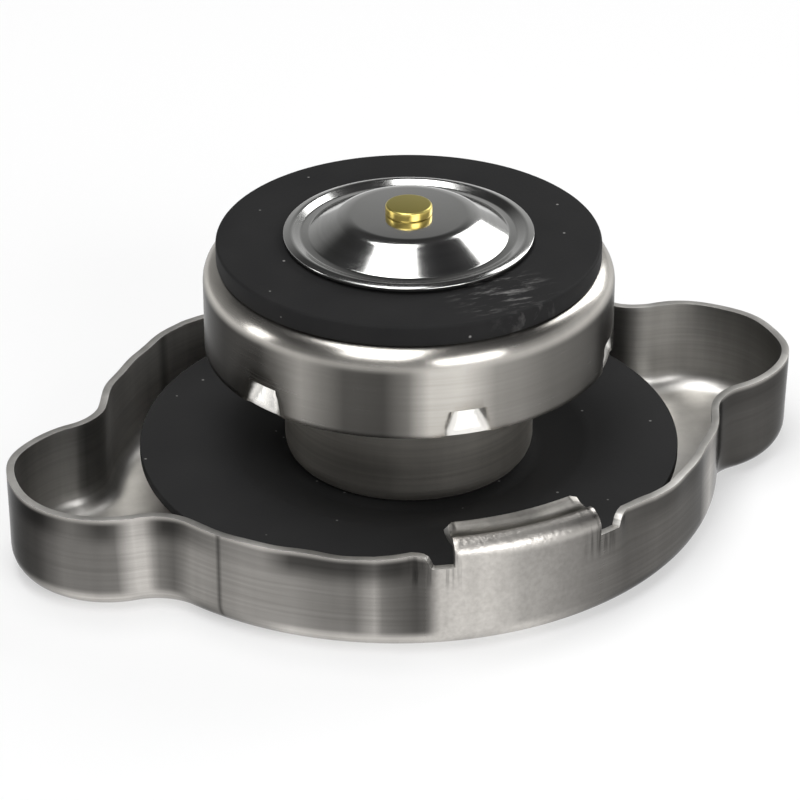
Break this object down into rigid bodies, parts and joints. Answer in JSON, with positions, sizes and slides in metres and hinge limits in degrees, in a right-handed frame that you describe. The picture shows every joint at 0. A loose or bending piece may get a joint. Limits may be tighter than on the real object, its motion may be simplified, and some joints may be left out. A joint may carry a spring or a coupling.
{
  "type": "radiator cap",
  "caption": "Stamped metal radiator cap lying valve side up: shell with finger lobes and locking tabs, neck gasket, sprung valve cup with rubber seal and central vacuum valve.",
  "frame": {"origin": "centre of the outer crown face that the cap lies on", "axes": "+Z along the cap's axis from the crown to the vacuum valve, +X through the finger lobes, the locking tabs on -Y and +Y"},
  "size_m": [0.0872, 0.0618, 0.0344],
  "materials": {
    "shell_steel": "satin stainless sheet",
    "rivet_steel": "plain steel",
    "disc_steel": "sprung steel sheet",
    "gasket_rubber": "matt black rubber",
    "housing_steel": "dull zinc-plated steel",
    "spring_steel": "drawn wire",
    "cup_steel": "satin stainless sheet",
    "seal_rubber": "smooth black rubber",
    "disc_chrome": "polished",
    "stem_brass": "polished brass",
    "retainer_steel": "plain steel"
  },
  "bodies": {
    "shell": {"cap_shell": "shell_steel"},
    "housing": {"spring_disc": "disc_steel", "neck_gasket": "gasket_rubber", "spring_housing": "housing_steel", "centre_rivet": "rivet_steel", "main_spring": "spring_steel"},
    "pressure_valve": {"valve_cup": "cup_steel", "pressure_seal": "seal_rubber", "vacuum_spring": "spring_steel"},
    "vacuum_valve": {"vacuum_disc": "disc_chrome", "vacuum_stem": "stem_brass", "spring_retainer": "retainer_steel"}
  },
  "joints": [
    {"name": "housing_swivel", "type": "hinge", "parent": "shell", "child": "housing", "pos_m": [0, 0, 0.0044], "axis": [0, 0, 1], "continuous": true},
    {"name": "pressure_slide", "type": "slide", "parent": "housing", "child": "pressure_valve", "axis": [0, 0, -1], "range_m": [0, 0.0045], "stiffness_N_per_m": 6000, "springref_m": -0.008, "deforming": ["main_spring"]},
    {"name": "vacuum_slide", "type": "slide", "parent": "pressure_valve", "child": "vacuum_valve", "axis": [0, 0, 1], "range_m": [0, 0.002], "stiffness_N_per_m": 400, "springref_m": -0.003, "deforming": ["vacuum_spring"]}
  ]
}
